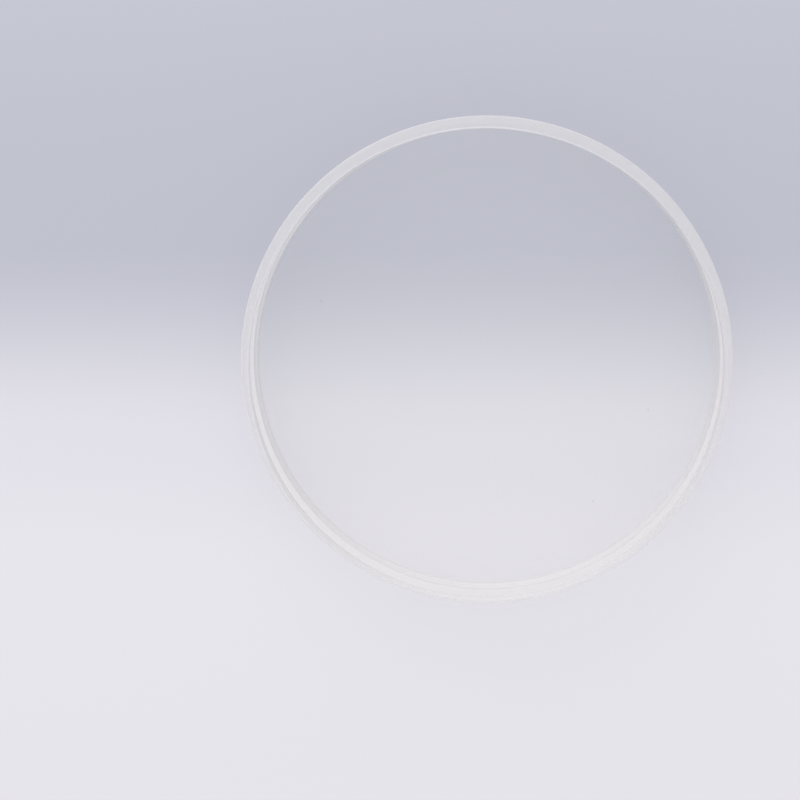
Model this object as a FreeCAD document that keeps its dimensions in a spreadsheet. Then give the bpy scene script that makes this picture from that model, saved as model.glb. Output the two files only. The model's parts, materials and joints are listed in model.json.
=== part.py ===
"""Milling disc of clear PMMA for dental work: a stepped round blank turned from one solid piece.

The disc lies flat. The origin is the centre of its lower face and +Z is its axis. A wider collar
runs round the middle of its height, where a milling machine's holder grips it. What stands out
above and below the collar are two equal, narrower drums, here called spigots, so that the disc can
be turned over in its holder. All lengths are in mm.
"""
import FreeCAD, Part
import math
import os

import Sketcher

PARTS_FOLDER = "parts"
NODE = "milling_disc"

# Driving dimensions: name, value, what it is
SIZES = [
    ("collar_diameter", 98.0, "outside of the collar, the standard size of an open holder"),
    ("collar_height", 10.0, "from the lower shoulder to the upper shoulder"),
    ("shoulder_width", 2.25, "step from the collar in to a spigot"),
    ("disc_thickness", 25.0, "from the lower face to the upper face, with the collar midway"),
    ("face_edge_break", 0.25, "chamfer round the upper face and the lower face"),
    ("collar_edge_break", 0.2, "chamfer on the collar's two outer edges"),
    ("root_radius", 0.2, "left by the tool's nose where a spigot meets its shoulder"),
]

# Lines of the half section, in order from the axis along the lower face, and how each one runs
OUTLINE = [
    ("lower_face", "Horizontal"),
    ("lower_wall", "Vertical"),
    ("lower_shoulder", "Horizontal"),
    ("collar_wall", "Vertical"),
    ("upper_shoulder", "Horizontal"),
    ("upper_wall", "Vertical"),
    ("upper_face", "Horizontal"),
    ("axis", "Vertical"),
]

FULL_TURN_DEG = 360
SAME_PLACE = 1e-6


def make_sheet(doc):
    """The spreadsheet of driving dimensions, one row each."""
    sheet = doc.addObject("Spreadsheet::Sheet", "Sizes")
    for row, (name, value, meaning) in enumerate(SIZES, start=1):
        sheet.set(f"A{row}", name)
        sheet.set(f"B{row}", str(value))
        sheet.set(f"C{row}", meaning)
        sheet.setAlias(f"B{row}", name)
    doc.recompute()
    return sheet


def levels(sheet):
    """The radii and heights at which the disc's outline turns a corner."""
    spigot_height = (sheet.disc_thickness - sheet.collar_height) / 2
    collar_radius = sheet.collar_diameter / 2
    return {
        "collar_radius": collar_radius,
        "spigot_radius": collar_radius - sheet.shoulder_width,
        "lower_shoulder": spigot_height,
        "upper_shoulder": spigot_height + sheet.collar_height,
        "top": sheet.disc_thickness,
    }


def section_corners(at):
    """Where each line of the outline starts."""
    spigot, collar = at["spigot_radius"], at["collar_radius"]
    corners = [
        (0, 0),
        (spigot, 0),
        (spigot, at["lower_shoulder"]),
        (collar, at["lower_shoulder"]),
        (collar, at["upper_shoulder"]),
        (spigot, at["upper_shoulder"]),
        (spigot, at["top"]),
        (0, at["top"]),
    ]
    return [FreeCAD.Vector(radius, height, 0) for radius, height in corners]


def origin_plane(body, role):
    """One of the body's own origin planes."""
    return next(item for item in body.Origin.OriginFeatures if item.Role == role)


def bind_length(sketch, name, kind, ends, value, expression):
    """A named length in the sketch that follows the spreadsheet."""
    index = sketch.addConstraint(Sketcher.Constraint(kind, *ends, value))
    sketch.renameConstraint(index, name)
    sketch.setExpression(f"Constraints.{name}", expression)


def draw_half_section(body, at):
    """The stepped outline from the axis outwards, fully constrained and bound to the spreadsheet."""
    sketch = body.newObject("Sketcher::SketchObject", "HalfSection")
    sketch.AttachmentSupport = (origin_plane(body, "XZ_Plane"), [""])
    sketch.MapMode = "FlatFace"

    corners = section_corners(at)
    for here, there in zip(corners, corners[1:] + corners[:1]):
        sketch.addGeometry(Part.LineSegment(here, there), False)

    line = {name: number for number, (name, _) in enumerate(OUTLINE)}
    start, end = 1, 2  # a line's two ends, as constraints number them
    sketch_origin = (-1, start)
    for name, run in OUTLINE:
        following = (line[name] + 1) % len(OUTLINE)
        sketch.addConstraint(Sketcher.Constraint(run, line[name]))
        sketch.addConstraint(Sketcher.Constraint("Coincident", line[name], end, following, start))
    sketch.addConstraint(Sketcher.Constraint("Coincident", line["lower_face"], start, *sketch_origin))
    sketch.addConstraint(Sketcher.Constraint("Equal", line["lower_face"], line["upper_face"]))
    sketch.addConstraint(Sketcher.Constraint("Equal", line["lower_wall"], line["upper_wall"]))

    bind_length(sketch, "thickness", "DistanceY", (line["axis"], end, line["axis"], start),
                at["top"], "Sizes.disc_thickness")
    bind_length(sketch, "collar", "DistanceY", (line["collar_wall"], start, line["collar_wall"], end),
                at["upper_shoulder"] - at["lower_shoulder"], "Sizes.collar_height")
    bind_length(sketch, "reach", "DistanceX", (*sketch_origin, line["collar_wall"], start),
                at["collar_radius"], "Sizes.collar_diameter / 2")
    bind_length(sketch, "step", "DistanceX", (line["lower_shoulder"], start, line["lower_shoulder"], end),
                at["collar_radius"] - at["spigot_radius"], "Sizes.shoulder_width")
    return sketch


def turn_blank(doc, body, sketch):
    """The turned blank with sharp corners."""
    blank = body.newObject("PartDesign::Revolution", "TurnedBlank")
    blank.Profile = sketch
    blank.ReferenceAxis = (sketch, ["V_Axis"])
    blank.Angle = FULL_TURN_DEG
    sketch.Visibility = False
    doc.recompute()
    return blank


def corner_circles(feature, places):
    """Names of the feature's circular edges that lie at the given radii and heights."""
    names = []
    for number, edge in enumerate(feature.Shape.Edges, start=1):
        if not isinstance(edge.Curve, Part.Circle):
            continue
        for radius, height in places:
            same_radius = math.isclose(edge.Curve.Radius, radius, abs_tol=SAME_PLACE)
            same_height = math.isclose(edge.Curve.Center.z, height, abs_tol=SAME_PLACE)
            if same_radius and same_height:
                names.append(f"Edge{number}")
    if len(names) != len(places):
        raise RuntimeError(f"{feature.Label}: found {len(names)} of {len(places)} corners")
    return names


def dress_corners(doc, body, kind, name, base, places, size_property, expression):
    """A chamfer or fillet on the circular corners of the feature before it."""
    dressing = body.newObject(kind, name)
    dressing.Base = (base, corner_circles(base, places))
    dressing.setExpression(size_property, expression)
    doc.recompute()
    return dressing


def make_disc(doc, sheet):
    """The whole disc: turned, its shoulder roots rounded and its outer edges broken."""
    at = levels(sheet)
    body = doc.addObject("PartDesign::Body", "MillingDisc")
    body.Label = NODE
    sketch = draw_half_section(body, at)
    blank = turn_blank(doc, body, sketch)

    shoulder_roots = [
        (at["spigot_radius"], at["lower_shoulder"]),
        (at["spigot_radius"], at["upper_shoulder"]),
    ]
    rounded = dress_corners(doc, body, "PartDesign::Fillet", "ShoulderRoots", blank,
                            shoulder_roots, "Radius", "Sizes.root_radius")
    collar_edges = [
        (at["collar_radius"], at["lower_shoulder"]),
        (at["collar_radius"], at["upper_shoulder"]),
    ]
    broken = dress_corners(doc, body, "PartDesign::Chamfer", "CollarEdges", rounded,
                           collar_edges, "Size", "Sizes.collar_edge_break")
    face_edges = [
        (at["spigot_radius"], 0),
        (at["spigot_radius"], at["top"]),
    ]
    dress_corners(doc, body, "PartDesign::Chamfer", "FaceEdges", broken,
                  face_edges, "Size", "Sizes.face_edge_break")
    return body


def check_document(doc, body):
    """Stops before anything is written if an object failed or the disc isn't one sound solid."""
    for item in doc.Objects:
        if "Invalid" in item.State or "Error" in item.State:
            raise RuntimeError(f"{item.Label} failed: {item.State}")
    if body.Shape.isNull() or not body.Shape.isValid() or len(body.Shape.Solids) != 1:
        raise RuntimeError(f"{body.Label} isn't one valid solid")


def main():
    os.makedirs(PARTS_FOLDER, exist_ok=True)
    doc = FreeCAD.newDocument("MillingDisc")
    sheet = make_sheet(doc)
    disc = make_disc(doc, sheet)
    doc.recompute()
    check_document(doc, disc)
    disc.Shape.exportStep(os.path.join(PARTS_FOLDER, f"{disc.Label}.step"))
    print(f"{disc.Label}: volume {disc.Shape.Volume:.1f} mm3, area {disc.Shape.Area:.1f} mm2")


main()
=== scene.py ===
"""Clear acrylic milling disc, lying on its flat face on a pale studio floor.

The disc is one turned piece: polished faces, finely turned frosted walls and a collar midway.
Everything is in metres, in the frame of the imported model: the disc's axis is +Z and its lower face
is at the origin.
"""
import json
import math

import bmesh
import bpy
from mathutils import Matrix, Vector


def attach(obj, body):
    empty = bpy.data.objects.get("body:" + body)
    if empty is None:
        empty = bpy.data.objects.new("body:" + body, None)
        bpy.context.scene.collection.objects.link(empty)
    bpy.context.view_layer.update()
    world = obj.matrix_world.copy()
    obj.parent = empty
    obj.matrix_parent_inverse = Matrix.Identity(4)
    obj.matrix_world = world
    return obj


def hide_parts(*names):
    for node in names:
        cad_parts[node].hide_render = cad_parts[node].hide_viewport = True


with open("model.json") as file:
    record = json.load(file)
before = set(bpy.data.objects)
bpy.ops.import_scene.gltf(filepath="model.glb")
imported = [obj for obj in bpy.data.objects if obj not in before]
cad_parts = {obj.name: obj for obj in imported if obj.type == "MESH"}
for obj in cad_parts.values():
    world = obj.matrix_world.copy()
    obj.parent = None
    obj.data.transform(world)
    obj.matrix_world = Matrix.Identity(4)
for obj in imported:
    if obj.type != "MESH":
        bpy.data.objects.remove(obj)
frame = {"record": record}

MM = 0.001
TAU = 2 * math.pi

NODE = "milling_disc"
PIECE = "turned_disc"

# The disc's mesh
SEGMENTS = 360
EDGE_SOFTNESS = 0.06 * MM      # rounding of each corner that the edge breaks leave
ARC_STEPS = 4
SUPPORT_GAP = 0.03 * MM        # a loop this close to each end of a straight run keeps it straight
FACE_RINGS = (0.25, 0.5, 0.75)
SMALLEST = 1e-9
LEVEL_TOLERANCE = 1e-7         # heights closer than this are one height

# Acrylic
ACRYLIC_IOR = 1.491
WHITE = (1.0, 1.0, 1.0)
POLISHED_COLOUR = (0.998, 0.998, 0.990)
WALL_TINT = (0.94, 0.94, 0.94)         # light that passes an upright frosted wall
SHOULDER_TINT = (0.80, 0.80, 0.80)     # and a level frosted shoulder
# Painted light and shade on one frosted finish: walls painted darker, level shoulders lighter, and the edge
# breaks lightest as a painted highlight.
WALL_FROST_SHADED = (0.77, 0.76, 0.76)        # frosted surfaces as seen directly, the walls with painted shade
SHOULDER_FROST_LIT = (0.89, 0.88, 0.88)
BREAK_FROST_HIGHLIGHT = (0.99, 0.98, 0.98)
FROST_TRANSMISSION = 0.5
FROST_GLOW = 0.3                       # share of their light that comes from behind
# Painted light and shade as seen through the acrylic: level shoulders painted lighter, walls darker, and the
# edge breaks darkest as painted dark lines.
WALL_MILK_SHADED = (0.785, 0.775, 0.77)       # frosted surfaces as seen through the acrylic
SHOULDER_MILK_LIT = (0.93, 0.915, 0.905)
BREAK_MILK_SHADED = (0.715, 0.705, 0.70)
MILK_GLOW = 0.5
GLOW_COLOUR = (0.965, 0.95, 0.945)     # light that they let through from behind
EVEN_BLEND = 0.5                       # makes a facing value of 1 less the cosine of the view's angle
MIRROR_BEGINS = 0.960                  # from inside, walls with more than this facing value mirror a little
MIRROR_FULL = 0.975                    # and with more than this, fully
MIRROR_ROUGHNESS = 0.02

# Marks on the polished faces
SMUDGE_SCALE = 55.0
SMUDGE_DETAIL = 5.0
SMUDGE_GRAIN = 0.6
SMUDGE_ROUGHNESS = (0.0, 0.03)         # clean and smudged
WAVE_SCALE = 22.0
WAVE_DETAIL = 1.0
WAVE_STRENGTH = 0.15
WAVE_HEIGHT = 0.02 * MM
SPECKS = (                             # faint specks on the upper face: X, Y and radius
    (-32.0 * MM, 13.1 * MM, 0.25 * MM),
    (31.9 * MM, -7.9 * MM, 0.25 * MM),
    (21.4 * MM, -26.1 * MM, 0.22 * MM),
)
SPECK_COLOUR = (0.78, 0.78, 0.78)

# Marks on the turned surfaces
LATHE_SCALE = 2600.0
LATHE_DETAIL = 3.0
LATHE_SHARE = 0.6                      # of the roughness; clouds make up the rest
LATHE_STRENGTH = 0.2
LATHE_HEIGHT = 0.015 * MM
CLOUD_SCALE = 120.0
CLOUD_DETAIL = 4.0
CLOUD_SHARE = 0.4
FROST_ROUGHNESS = (0.38, 0.62)         # least and most

# The photograph's camera
PHOTO_SIDE_PX = 800
FOCAL_PX = 1918.0
SENSOR_WIDTH_MM = 36.0
CAMERA_DISTANCE = 387.5 * MM   # from the middle of the disc
CAMERA_LIFT = math.radians(6.5)    # above the disc's axis, towards the photograph's top
CAMERA_SWING = math.radians(0.6)   # to the right of the disc's axis
CENTRE_PX = (485.25, 360.75)   # where the middle of the disc appears
CLIP_START = 0.01

# The studio
FLOOR_GAP = 0.05 * MM          # the air film under the disc
FLOOR_HALF = 6.0
FLOOR_ROUGHNESS = 0.9
FLOOR_SPECULAR = 0.1
FLOOR_SHADE_STOPS = (                # painted shade: the floor's colour by Y, near white in front and greyer behind, as a painted light falloff
    (-90 * MM, (0.808, 0.795, 0.829)),
    (-45 * MM, (0.814, 0.801, 0.836)),
    (-17 * MM, (0.768, 0.756, 0.803)),
    (23 * MM, (0.530, 0.540, 0.608)),
    (140 * MM, (0.616, 0.622, 0.694)),
    (1500 * MM, (0.450, 0.455, 0.510)),
)
SKY_COLOUR = (1.0, 1.0, 1.03)
SKY_LEAST = 0.56               # low to the left and right
SKY_ABOVE = 0.14               # more than that overhead
SKY_ENDS = 0.40                # and more at the two ends, towards +Y and -Y
SKY_LEAN = -0.15               # and the end at -Y is the brighter one
SOFTBOX_PLACE = (-1.05, 2.85, 2.25)
SOFTBOX_AIM = (0.0, 0.0, 0.0)
SOFTBOX_SIZE = (3.6, 2.4)
SOFTBOX_POWER = 75.6


# Sizes of the disc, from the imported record

def mounts_by_name(record):
    """The record's mounts, each under its name."""
    return {mount["name"]: mount for mount in record["mounts"]}


def frame_top():
    """Height of the upper face."""
    return mounts_by_name(frame["record"])["upper_face"]["pos_m"][2]


def disc_sizes(record):
    """Radii, heights and edge breaks of the disc, worked out from the mounts."""
    mounts = mounts_by_name(record)
    collar, spigot = mounts["collar"], mounts["upper_spigot"]
    low = mounts["lower_shoulder"]["pos_m"][2]
    high = mounts["upper_shoulder"]["pos_m"][2]
    top = mounts["upper_face"]["pos_m"][2]
    spigot_middle = spigot["pos_m"][2]
    half_wall = spigot["dims"]["length_mm"] * MM / 2
    return {
        "collar": collar["dims"]["r_mm"] * MM,
        "spigot": spigot["dims"]["r_mm"] * MM,
        "low": low,
        "high": high,
        "top": top,
        "collar_break": (high - low - collar["dims"]["length_mm"] * MM) / 2,
        "face_break": top - (spigot_middle + half_wall),
        "root": spigot_middle - half_wall - high,
    }


# The disc's mesh

def profile_corners(size):
    """The half section's corners from the lower face to the upper one: (radius, height, rounding)."""
    spigot, collar = size["spigot"], size["collar"]
    low, high, top = size["low"], size["high"], size["top"]
    face_break, collar_break = size["face_break"], size["collar_break"]
    return [
        (0.0, 0.0, 0.0),
        (spigot - face_break, 0.0, EDGE_SOFTNESS),
        (spigot, face_break, EDGE_SOFTNESS),
        (spigot, low, size["root"]),
        (collar - collar_break, low, EDGE_SOFTNESS),
        (collar, low + collar_break, EDGE_SOFTNESS),
        (collar, high - collar_break, EDGE_SOFTNESS),
        (collar - collar_break, high, EDGE_SOFTNESS),
        (spigot, high, size["root"]),
        (spigot, top - face_break, EDGE_SOFTNESS),
        (spigot - face_break, top, EDGE_SOFTNESS),
        (0.0, top, 0.0),
    ]


def corner_arc(before, corner, after, radius):
    """Points of the arc that rounds a corner of the half section."""
    back = (before - corner).normalized()
    ahead = (after - corner).normalized()
    half_angle = back.angle(ahead) / 2
    setback = radius / math.tan(half_angle)
    middle = (back + ahead).normalized()
    centre = corner + middle * (radius / math.sin(half_angle))
    first = corner + back * setback - centre
    last = corner + ahead * setback - centre
    turn = first.angle_signed(last)
    arc = []
    for step in range(ARC_STEPS + 1):
        arc.append(centre + Matrix.Rotation(-turn * step / ARC_STEPS, 2) @ first)
    return arc


def profile_points(size):
    """The rounded half section, with a support point by each end of every straight run."""
    corners = profile_corners(size)
    spots = [Vector(corner[:2]) for corner in corners]
    runs = [[spots[0]]]
    for index in range(1, len(spots) - 1):
        runs.append(corner_arc(spots[index - 1], spots[index], spots[index + 1], corners[index][2]))
    runs.append([spots[-1]])

    points = []
    for arc, following in zip(runs, runs[1:]):
        points += arc
        along = (following[0] - arc[-1]).normalized() * SUPPORT_GAP
        if arc is not runs[0]:
            points.append(arc[-1] + along)
        if following is not runs[-1]:
            points.append(following[0] - along)
    points += runs[-1]
    return points


def add_face_rings(points):
    """Even rings across both flat faces, between the axis and the first point off it."""
    first, last = points[1], points[-2]
    lower = [Vector((first.x * share, first.y)) for share in FACE_RINGS]
    upper = [Vector((last.x * share, last.y)) for share in reversed(FACE_RINGS)]
    return points[:1] + lower + points[1:-1] + upper + points[-1:]


def ring_of_vertices(bm, point):
    """One vertex on the axis, or a full ring of them."""
    radius, height = point
    if radius < SMALLEST:
        return [bm.verts.new((0.0, 0.0, height))]
    turns = [TAU * step / SEGMENTS for step in range(SEGMENTS)]
    return [bm.verts.new((radius * math.cos(turn), radius * math.sin(turn), height)) for turn in turns]


def bridge(bm, inner, outer):
    """Faces between two neighbouring rings, as a fan where one of them is the axis."""
    faces = []
    for step in range(SEGMENTS):
        following = (step + 1) % SEGMENTS
        corners = [inner[step % len(inner)], outer[step % len(outer)],
                   outer[following % len(outer)], inner[following % len(inner)]]
        unique = list(dict.fromkeys(corners))
        faces.append(bm.faces.new(unique))
    return faces


def is_level(height, other):
    """Whether two heights are the same."""
    return abs(height - other) < LEVEL_TOLERANCE


def make_disc(size, polished, turned):
    """The turned disc, with its flat faces polished and the rest as the lathe left it."""
    bm = bmesh.new()
    points = add_face_rings(profile_points(size))
    rings = [ring_of_vertices(bm, point) for point in points]
    for (inner, outer), (here, there) in zip(zip(rings, rings[1:]), zip(points, points[1:])):
        is_flat_face = is_level(here.y, there.y) and (is_level(here.y, 0.0) or is_level(here.y, size["top"]))
        for face in bridge(bm, inner, outer):
            face.material_index = 0 if is_flat_face else 1
            face.smooth = not is_flat_face
    bmesh.ops.recalc_face_normals(bm, faces=bm.faces)
    mesh = bpy.data.meshes.new(PIECE)
    bm.to_mesh(mesh)
    bm.free()
    mesh.materials.append(polished)
    mesh.materials.append(turned)
    disc = bpy.data.objects.new(PIECE, mesh)
    bpy.context.scene.collection.objects.link(disc)
    return disc


# Materials

def new_material(name):
    """An empty material with its node tree, Principled shader and output."""
    material = bpy.data.materials.new(name)
    material.use_nodes = True
    tree = material.node_tree
    return material, tree, tree.nodes["Principled BSDF"]


def add(tree, kind, **inputs):
    """A node with some of its sockets set or linked; a trailing _N picks a socket by number."""
    node = tree.nodes.new(kind)
    for name, value in inputs.items():
        socket = node.inputs[int(name[1:])] if name[1:].isdigit() else node.inputs[name.replace("_", " ")]
        if isinstance(value, bpy.types.NodeSocket):
            tree.links.new(value, socket)
        else:
            socket.default_value = value
    return node


def maths(tree, operation, first, second=0.0, third=0.0):
    """The result of a sum, product or the like of numbers and sockets."""
    node = add(tree, "ShaderNodeMath", i0=first, i1=second, i2=third)
    node.operation = operation
    return node.outputs[0]


def map_range(tree, value, low, high):
    """value from 0 to 1, stretched to run from low to high."""
    node = add(tree, "ShaderNodeMapRange", Value=value, To_Min=low, To_Max=high)
    return node.outputs["Result"]


def blend(tree, share, first, second):
    """The first colour where share is 0 and the second where it is 1."""
    node = tree.nodes.new("ShaderNodeMix")
    node.data_type = "RGBA"
    tree.links.new(share, node.inputs[0])
    for socket, colour in zip(node.inputs[6:8], (first, second)):
        if isinstance(colour, bpy.types.NodeSocket):
            tree.links.new(colour, socket)
        else:
            socket.default_value = (*colour, 1.0)
    return node.outputs[2]


def show_to_rays(material, other, kinds):
    """Gives rays of the named kinds another shader than the one that the material has so far."""
    tree = material.node_tree
    output = tree.nodes["Material Output"]
    shader = output.inputs["Surface"].links[0].from_socket
    path = tree.nodes.new("ShaderNodeLightPath")
    for kind in kinds:
        mix = add(tree, "ShaderNodeMixShader", i0=path.outputs[kind], i1=shader, i2=other)
        shader = mix.outputs["Shader"]
    tree.links.new(shader, output.inputs["Surface"])


def let_light_through(material, tint):
    """Lets lamps and bounced light pass straight through, tinted, so that what lies under stays lit."""
    clear = add(material.node_tree, "ShaderNodeBsdfTransparent", Color=tint)
    show_to_rays(material, clear.outputs["BSDF"], ("Is Shadow Ray", "Is Diffuse Ray"))


def add_speck_mask(tree, position):
    """1 on the clean face and 0 in the middle of each speck on the upper face."""
    clean = 1.0
    for x, y, radius in SPECKS:
        spot = (x, y, frame_top())
        away = add(tree, "ShaderNodeVectorMath", i0=position, i1=spot)
        away.operation = "DISTANCE"
        near = add(tree, "ShaderNodeMapRange", Value=away.outputs["Value"], From_Min=radius / 2,
                   From_Max=radius)
        clean = maths(tree, "MINIMUM", near.outputs["Result"], clean)
    return clean


def polished_acrylic():
    """Clear faces: a mirror polish with faint wipe marks and a slight cast waviness."""
    material, tree, shader = new_material("polished_acrylic")
    position = add(tree, "ShaderNodeTexCoord").outputs["Object"]
    smudge = add(tree, "ShaderNodeTexNoise", Vector=position, Scale=SMUDGE_SCALE, Detail=SMUDGE_DETAIL,
                 Roughness=SMUDGE_GRAIN)
    tree.links.new(map_range(tree, smudge.outputs["Fac"], *SMUDGE_ROUGHNESS), shader.inputs["Roughness"])
    waves = add(tree, "ShaderNodeTexNoise", Vector=position, Scale=WAVE_SCALE, Detail=WAVE_DETAIL)
    bump = add(tree, "ShaderNodeBump", Height=waves.outputs["Fac"], Strength=WAVE_STRENGTH,
               Distance=WAVE_HEIGHT)
    tree.links.new(bump.outputs["Normal"], shader.inputs["Normal"])
    clean = add_speck_mask(tree, position)
    tree.links.new(blend(tree, clean, SPECK_COLOUR, POLISHED_COLOUR), shader.inputs["Base Color"])
    shader.inputs["IOR"].default_value = ACRYLIC_IOR
    shader.inputs["Transmission Weight"].default_value = 1.0
    let_light_through(material, (*WHITE, 1.0))
    return material


def lathe_rings(tree, position):
    """Noise that changes only with the radius and the height, as the feed marks of a lathe do."""
    split = add(tree, "ShaderNodeSeparateXYZ", Vector=position)
    across = add(tree, "ShaderNodeCombineXYZ", X=split.outputs["X"], Y=split.outputs["Y"])
    radius = add(tree, "ShaderNodeVectorMath", i0=across.outputs["Vector"])
    radius.operation = "LENGTH"
    feed = maths(tree, "ADD", radius.outputs["Value"], split.outputs["Z"])
    rings = tree.nodes.new("ShaderNodeTexNoise")
    rings.noise_dimensions = "1D"
    tree.links.new(feed, rings.inputs["W"])
    rings.inputs["Scale"].default_value = LATHE_SCALE
    rings.inputs["Detail"].default_value = LATHE_DETAIL
    return rings.outputs["Fac"]


def frost_roughness(tree, position, rings):
    """Roughness that follows the lathe rings and soft clouds."""
    clouds = add(tree, "ShaderNodeTexNoise", Vector=position, Scale=CLOUD_SCALE, Detail=CLOUD_DETAIL)
    mixed = maths(tree, "ADD", maths(tree, "MULTIPLY", rings, LATHE_SHARE),
                  maths(tree, "MULTIPLY", clouds.outputs["Fac"], CLOUD_SHARE))
    return map_range(tree, mixed, *FROST_ROUGHNESS)


def slope_masks(tree):
    """Two masks: one is 1 on level surfaces and 0 on walls, the other is 1 on a slant of 45 degrees."""
    facing = add(tree, "ShaderNodeSeparateXYZ", Vector=add(tree, "ShaderNodeTexCoord").outputs["Normal"])
    level = maths(tree, "MULTIPLY", facing.outputs["Z"], facing.outputs["Z"])
    slanted = maths(tree, "MULTIPLY", level, maths(tree, "MULTIPLY_ADD", level, -4.0, 4.0))
    return level, slanted


def shade_by_slope(tree, masks, wall, shoulder, edge_break):
    """One colour for walls, one for shoulders and one for edge breaks: painted light and shade by which way
    a surface faces.
    """
    level, slanted = masks
    return blend(tree, slanted, blend(tree, level, wall, shoulder), edge_break)


def inside_shader(tree, milk_shading, glow, normal):
    """How the turned surfaces look through the acrylic: milky with painted light and shade by slope, and a
    mirror where seen nearly edge-on.
    """
    milk = add(tree, "ShaderNodeBsdfDiffuse", Color=milk_shading, Normal=normal)
    milky = add(tree, "ShaderNodeMixShader", i0=MILK_GLOW, i1=milk.outputs["BSDF"], i2=glow)
    edge_on = add(tree, "ShaderNodeLayerWeight", Blend=EVEN_BLEND).outputs["Facing"]
    mirroring = add(tree, "ShaderNodeMapRange", Value=edge_on, From_Min=MIRROR_BEGINS, From_Max=MIRROR_FULL)
    mirror = add(tree, "ShaderNodeBsdfGlossy", Color=(*WHITE, 1.0), Roughness=MIRROR_ROUGHNESS)
    inside = add(tree, "ShaderNodeMixShader", i0=mirroring.outputs["Result"], i1=milky.outputs["Shader"],
                 i2=mirror.outputs["BSDF"])
    return inside.outputs["Shader"]


def turned_acrylic():
    """Frosted walls: milky, with painted light and shade by slope and the fine rings that the lathe tool
    leaves.
    """
    material, tree, shader = new_material("turned_acrylic")
    position = add(tree, "ShaderNodeTexCoord").outputs["Object"]
    rings = lathe_rings(tree, position)
    masks = slope_masks(tree)
    bump = add(tree, "ShaderNodeBump", Height=rings, Strength=LATHE_STRENGTH, Distance=LATHE_HEIGHT)
    normal = bump.outputs["Normal"]
    tree.links.new(normal, shader.inputs["Normal"])
    tree.links.new(frost_roughness(tree, position, rings), shader.inputs["Roughness"])
    # painted light and shade by slope, with a painted highlight on the edge breaks
    frost_shading = shade_by_slope(tree, masks, WALL_FROST_SHADED, SHOULDER_FROST_LIT, BREAK_FROST_HIGHLIGHT)
    tree.links.new(frost_shading, shader.inputs["Base Color"])
    shader.inputs["IOR"].default_value = ACRYLIC_IOR
    shader.inputs["Transmission Weight"].default_value = FROST_TRANSMISSION

    behind = add(tree, "ShaderNodeBsdfTranslucent", Color=(*GLOW_COLOUR, 1.0), Normal=normal)
    glow = behind.outputs["BSDF"]
    frost = add(tree, "ShaderNodeMixShader", i0=FROST_GLOW, i1=shader.outputs["BSDF"], i2=glow)
    tree.links.new(frost.outputs["Shader"], tree.nodes["Material Output"].inputs["Surface"])
    # painted light and shade seen through the acrylic, by slope
    milk_shading = shade_by_slope(tree, masks, WALL_MILK_SHADED, SHOULDER_MILK_LIT, BREAK_MILK_SHADED)
    inside = inside_shader(tree, milk_shading, glow, normal)
    show_to_rays(material, inside, ("Is Transmission Ray", "Is Glossy Ray"))
    let_light_through(material, blend(tree, masks[0], WALL_TINT, SHOULDER_TINT))
    return material


def floor_material():
    """Matt pale floor with painted shade, which pales from lavender grey towards +Y, at the top of the view,
    to near white towards -Y.
    """
    material, tree, shader = new_material("studio_floor")
    position = add(tree, "ShaderNodeTexCoord").outputs["Object"]
    split = add(tree, "ShaderNodeSeparateXYZ", Vector=position)
    first, last = FLOOR_SHADE_STOPS[0][0], FLOOR_SHADE_STOPS[-1][0]
    along = add(tree, "ShaderNodeMapRange", Value=split.outputs["Y"], From_Min=first, From_Max=last)
    # painted shade: the floor darker towards +Y
    ramp = add(tree, "ShaderNodeValToRGB", Fac=along.outputs["Result"])
    ramp.color_ramp.interpolation = "EASE"
    while len(ramp.color_ramp.elements) < len(FLOOR_SHADE_STOPS):
        ramp.color_ramp.elements.new(0.5)
    for element, (place, colour) in zip(ramp.color_ramp.elements, FLOOR_SHADE_STOPS):
        element.position = (place - first) / (last - first)
        element.color = (*colour, 1.0)
    tree.links.new(ramp.outputs["Color"], shader.inputs["Base Color"])
    shader.inputs["Roughness"].default_value = FLOOR_ROUGHNESS
    shader.inputs["Specular IOR Level"].default_value = FLOOR_SPECULAR
    return material


# Studio

def make_floor():
    """A wide square floor, an air film below the disc."""
    mesh = bpy.data.meshes.new("studio_floor")
    sides = ((-1, -1), (1, -1), (1, 1), (-1, 1))
    corners = [(x * FLOOR_HALF, y * FLOOR_HALF, -FLOOR_GAP) for x, y in sides]
    mesh.from_pydata(corners, [], [(0, 1, 2, 3)])
    mesh.materials.append(floor_material())
    floor = bpy.data.objects.new("studio_floor", mesh)
    bpy.context.scene.collection.objects.link(floor)


def make_world():
    """Soft light from all round, stronger overhead and at the two ends of Y."""
    world = bpy.data.worlds.new("studio")
    bpy.context.scene.world = world
    world.use_nodes = True
    tree = world.node_tree
    sky = tree.nodes["Background"]
    sky.inputs["Color"].default_value = (*SKY_COLOUR, 1.0)
    direction = add(tree, "ShaderNodeTexCoord").outputs["Generated"]
    split = add(tree, "ShaderNodeSeparateXYZ", Vector=direction)
    height = split.outputs["Z"]
    overhead = maths(tree, "MULTIPLY_ADD", maths(tree, "MULTIPLY", height, height), SKY_ABOVE, SKY_LEAST)
    slope = maths(tree, "MULTIPLY_ADD", split.outputs["Y"], SKY_ENDS, SKY_LEAN)
    strength = maths(tree, "MULTIPLY_ADD", slope, split.outputs["Y"], overhead)
    tree.links.new(strength, sky.inputs["Strength"])


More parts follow.
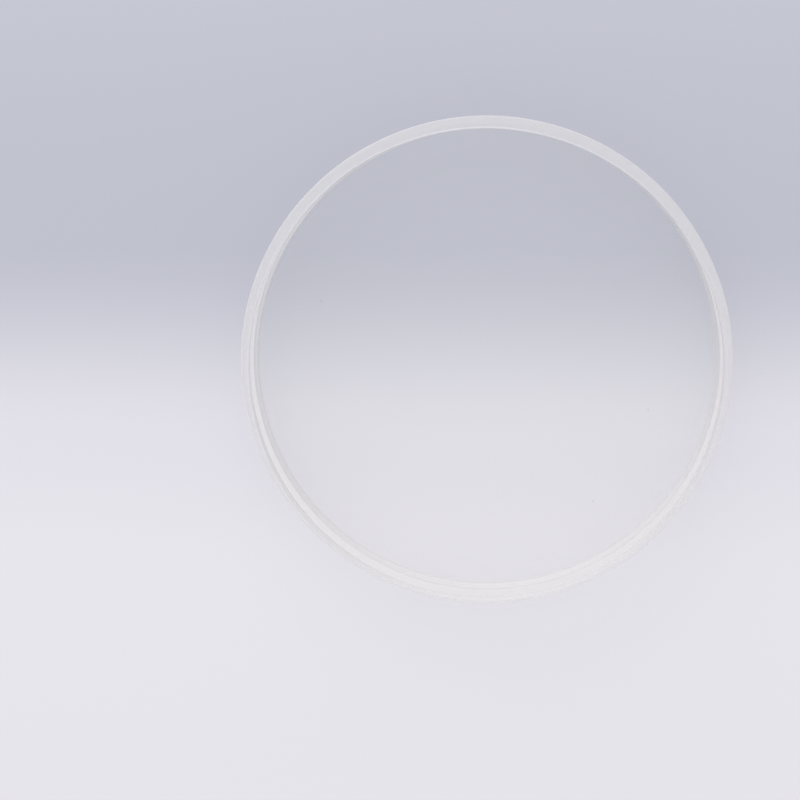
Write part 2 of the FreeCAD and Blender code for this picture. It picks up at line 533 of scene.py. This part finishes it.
def add_softbox(name, place, aim, width, height, power):
    """A rectangular lamp that lights the scene but isn't mirrored or seen through the disc."""
    light = bpy.data.lights.new(name, "AREA")
    light.shape = "RECTANGLE"
    light.size, light.size_y = width, height
    light.energy = power
    lamp = bpy.data.objects.new(name, light)
    lamp.visible_glossy = False
    lamp.visible_transmission = False
    lamp.location = place
    lamp.rotation_mode = "QUATERNION"
    lamp.rotation_quaternion = (Vector(aim) - Vector(place)).to_track_quat("-Z", "Y")
    bpy.context.scene.collection.objects.link(lamp)


def make_camera(size):
    """The photograph's view: nearly along the disc's axis, its top towards +Y, with no roll."""
    target = Vector((0.0, 0.0, size["top"] / 2))
    towards_camera = Vector((math.sin(CAMERA_SWING), math.sin(CAMERA_LIFT), math.cos(CAMERA_LIFT)))
    place = target + towards_camera.normalized() * CAMERA_DISTANCE
    photo_up = Vector((0.0, 1.0, 0.0))

    straight = (target - place).normalized()
    right = straight.cross(photo_up).normalized()
    up = right.cross(straight)
    half = PHOTO_SIDE_PX / 2
    aim = target
    aim = aim - right * ((CENTRE_PX[0] - half) / FOCAL_PX * CAMERA_DISTANCE)
    aim = aim + up * ((CENTRE_PX[1] - half) / FOCAL_PX * CAMERA_DISTANCE)

    forward = (aim - place).normalized()
    right = forward.cross(photo_up).normalized()
    up = right.cross(forward)
    turn = Matrix((right, up, -forward)).transposed().to_4x4()
    data = bpy.data.cameras.new("camera")
    data.sensor_width = SENSOR_WIDTH_MM
    data.lens = FOCAL_PX / PHOTO_SIDE_PX * SENSOR_WIDTH_MM
    data.clip_start = CLIP_START
    camera = bpy.data.objects.new("camera", data)
    camera.matrix_world = Matrix.Translation(place) @ turn
    bpy.context.scene.collection.objects.link(camera)
    bpy.context.scene.camera = camera


def main():
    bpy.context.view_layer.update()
    size = disc_sizes(frame["record"])
    disc = make_disc(size, polished_acrylic(), turned_acrylic())
    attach(disc, "root")
    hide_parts(NODE)

    make_floor()
    make_world()
    add_softbox("softbox", SOFTBOX_PLACE, SOFTBOX_AIM, *SOFTBOX_SIZE, SOFTBOX_POWER)
    make_camera(size)
    bpy.context.scene.view_settings.view_transform = "Standard"


main()
